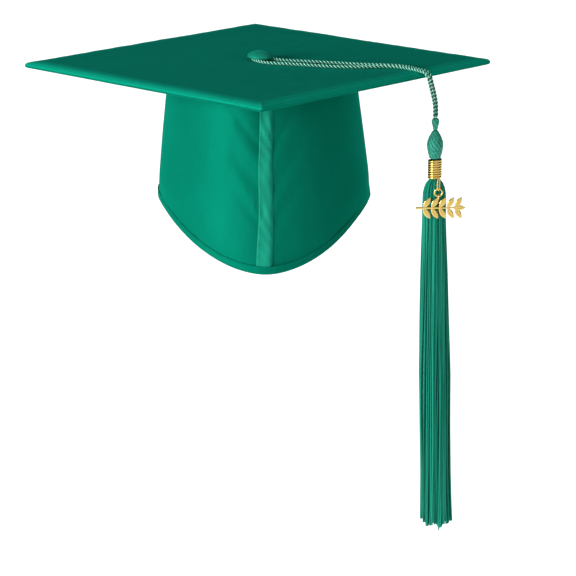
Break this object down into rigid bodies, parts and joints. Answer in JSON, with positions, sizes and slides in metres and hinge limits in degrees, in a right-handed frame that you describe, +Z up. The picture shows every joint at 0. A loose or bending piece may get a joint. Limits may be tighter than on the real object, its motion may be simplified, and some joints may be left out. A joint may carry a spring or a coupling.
{
  "type": "graduation cap",
  "caption": "Square padded mortarboard on a fitted skull cap, with a tassel on a doubled cord looped round a covered button and a small laurel charm",
  "frame": {"origin": "centre of the head opening, level with its rim at the sides, where the wearer's head goes in", "axes": "+Z up out of the board, the board's front corner toward -Y, +X toward the wearer's left, the side the tassel hangs on"},
  "size_m": [0.3392, 0.3392, 0.3494],
  "materials": {
    "satin": "shiny green satin",
    "lining": "dull dark green lining",
    "wadding": "white wadding and stiffening",
    "card": "grey board",
    "cord": "twisted rayon cord",
    "thread": "rayon tassel thread",
    "elastic": "white elastic",
    "gold": "polished gold plating",
    "steel": "plain pin and washer"
  },
  "bodies": {
    "cap": {"top_cover": "satin", "board_padding": "wadding", "board_core": "card", "bottom_cover": "satin", "crown_panel": "satin", "crown_lining": "lining", "left_panel": "satin", "right_panel": "satin", "back_panel": "satin", "front_seam_welt": "satin", "left_interlining": "wadding", "right_interlining": "wadding", "left_lining": "lining", "right_lining": "lining", "back_lining": "lining", "elastic_band": "elastic", "hem_binding": "satin", "button_cover": "satin", "button_core": "card", "button_shank": "steel", "shank_washer": "steel"},
    "cord": {"cord_on_board": "cord", "cord_over_edge": "cord"},
    "drop": {"cord_drop": "cord"},
    "knot": {"tassel_knot": "cord"},
    "tassel": {"head_bead": "card", "head_wrap": "thread", "coil_band": "gold", "skirt": "thread", "charm_link": "gold"},
    "ring": {"jump_ring": "gold"},
    "charm": {"charm": "gold"}
  },
  "joints": [
    {"name": "cord_swivel", "type": "hinge", "parent": "cap", "child": "cord", "pos_m": [-0.0017, -0.003, 0.1012], "axis": [0, 0, 1], "range_deg": [-38, 0]},
    {"name": "cord_swing", "type": "hinge", "parent": "cord", "child": "drop", "pos_m": [0.1215, -0.0568, 0.093], "axis": [-0.7071, -0.7071, 0], "range_deg": [-8, 75], "deforming": ["cord_over_edge"]},
    {"name": "tassel_sway", "type": "hinge", "parent": "drop", "child": "knot", "pos_m": [0.1215, -0.0568, 0.0645], "axis": [0.7071, -0.7071, 0], "range_deg": [-35, 35]},
    {"name": "tassel_twist", "type": "hinge", "parent": "knot", "child": "tassel", "pos_m": [0.1215, -0.0568, 0.0585], "axis": [0, 0, 1], "range_deg": [-180, 180]},
    {"name": "ring_swing", "type": "hinge", "parent": "tassel", "child": "ring", "pos_m": [0.1233, -0.068, 0.0183], "axis": [-1, 0, 0], "range_deg": [0, 60]},
    {"name": "charm_swing", "type": "hinge", "parent": "ring", "child": "charm", "pos_m": [0.1233, -0.068, 0.0156], "axis": [0, -1, 0], "range_deg": [-20, 20]}
  ]
}
